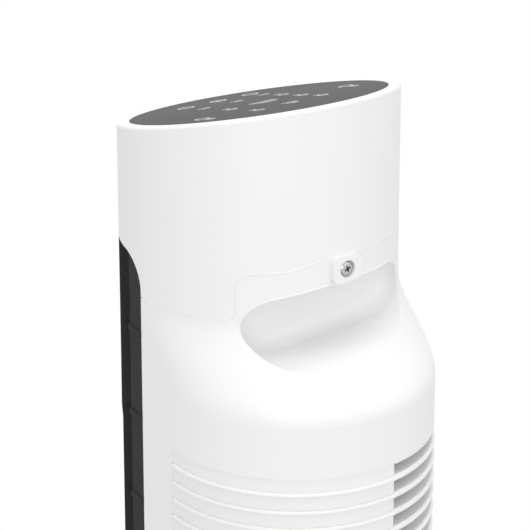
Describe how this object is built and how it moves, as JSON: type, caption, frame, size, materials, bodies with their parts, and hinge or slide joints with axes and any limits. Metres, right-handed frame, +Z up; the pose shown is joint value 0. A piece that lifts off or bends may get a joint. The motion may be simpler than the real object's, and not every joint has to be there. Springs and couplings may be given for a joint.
{
  "type": "tower air purifier",
  "caption": "Slim tower air purifier with a slanted touch panel, front air grille, screwed rear cover with hand recess and intake louvres, and a round base that it swings on.",
  "frame": {"origin": "middle of the round base at the plane of the feet's undersides, on the axis the column turns about", "axes": "+Z up along the column, -Y towards the front grille, +Y towards the rear cover, +X to the left seen from behind"},
  "size_m": [0.3, 0.3, 0.9996],
  "materials": {
    "white_shell": "satin moulded shell, off-white",
    "grille": "fine matt moulding, charcoal",
    "panel": "polished touch cover, mid grey",
    "inner_plastic": "unpainted moulding, light grey",
    "fan_plastic": "unpainted moulding, blue grey",
    "gear_plastic": "unpainted acetal, natural",
    "steel": "plated",
    "ballast": "black coated",
    "motor": "zinc plated can",
    "rubber": "matt",
    "board": "solder mask",
    "display": "smooth",
    "brass": "plain",
    "wire": "sleeved",
    "filter_frame": "white board",
    "filter_media": "pleated fleece",
    "mesh": "fine net",
    "foam": "closed-cell foam"
  },
  "bodies": {
    "base": {"base_cover": "white_shell", "base_plate": "inner_plastic", "ballast_ring": "ballast", "base_feet": "rubber", "base_screws": "steel", "fixed_gear": "gear_plastic", "glide_ring": "gear_plastic", "cord_gland": "rubber"},
    "tower": {"turntable": "inner_plastic", "turntable_retainer": "inner_plastic", "retainer_screws": "steel", "lower_housing": "white_shell", "housing_screws": "steel", "lower_bulkhead": "inner_plastic", "bulkhead_screws": "steel", "upper_bulkhead": "inner_plastic", "scroll_wall": "inner_plastic", "airflow_tongue": "inner_plastic", "front_grille": "grille", "head_mount": "inner_plastic", "head_shell": "white_shell", "control_panel": "panel", "control_board": "board", "control_board_screws": "steel", "display_module": "display", "touch_springs": "brass", "fan_motor": "motor", "motor_screws": "steel", "top_bearing": "brass", "bearing_holder": "rubber", "oscillation_motor": "motor", "oscillation_screws": "steel", "power_board": "board", "board_screws": "steel", "wire_harness": "wire"},
    "impeller": {"motor_shaft": "steel", "drive_coupling": "rubber", "impeller": "fan_plastic", "stub_shaft": "steel"},
    "pinion": {"oscillation_pinion": "gear_plastic"},
    "rear_cover": {"rear_cover": "white_shell", "cover_screw": "steel", "screw_clip": "gear_plastic", "filter_frame": "filter_frame", "filter_media": "filter_media", "prefilter_mesh": "mesh", "filter_seal": "foam"}
  },
  "joints": [
    {"name": "oscillation", "type": "hinge", "parent": "base", "child": "tower", "pos_m": [0, 0, 0.04], "axis": [0, 0, 1], "range_deg": [-40, 40]},
    {"name": "impeller_spin", "type": "hinge", "parent": "tower", "child": "impeller", "pos_m": [0, -0.022, 0.46], "axis": [0, 0, 1], "continuous": true},
    {"name": "pinion_spin", "type": "hinge", "parent": "tower", "child": "pinion", "pos_m": [0, 0.032, 0.025], "axis": [0, 0, 1], "range_deg": [-125, 125]},
    {"name": "cover_slide", "type": "slide", "parent": "tower", "child": "rear_cover", "axis": [0, 1, 0], "range_m": [0, 0.13]}
  ],
  "couplings": [
    {"joint": "pinion_spin", "follows": "oscillation", "ratio": 3}
  ]
}
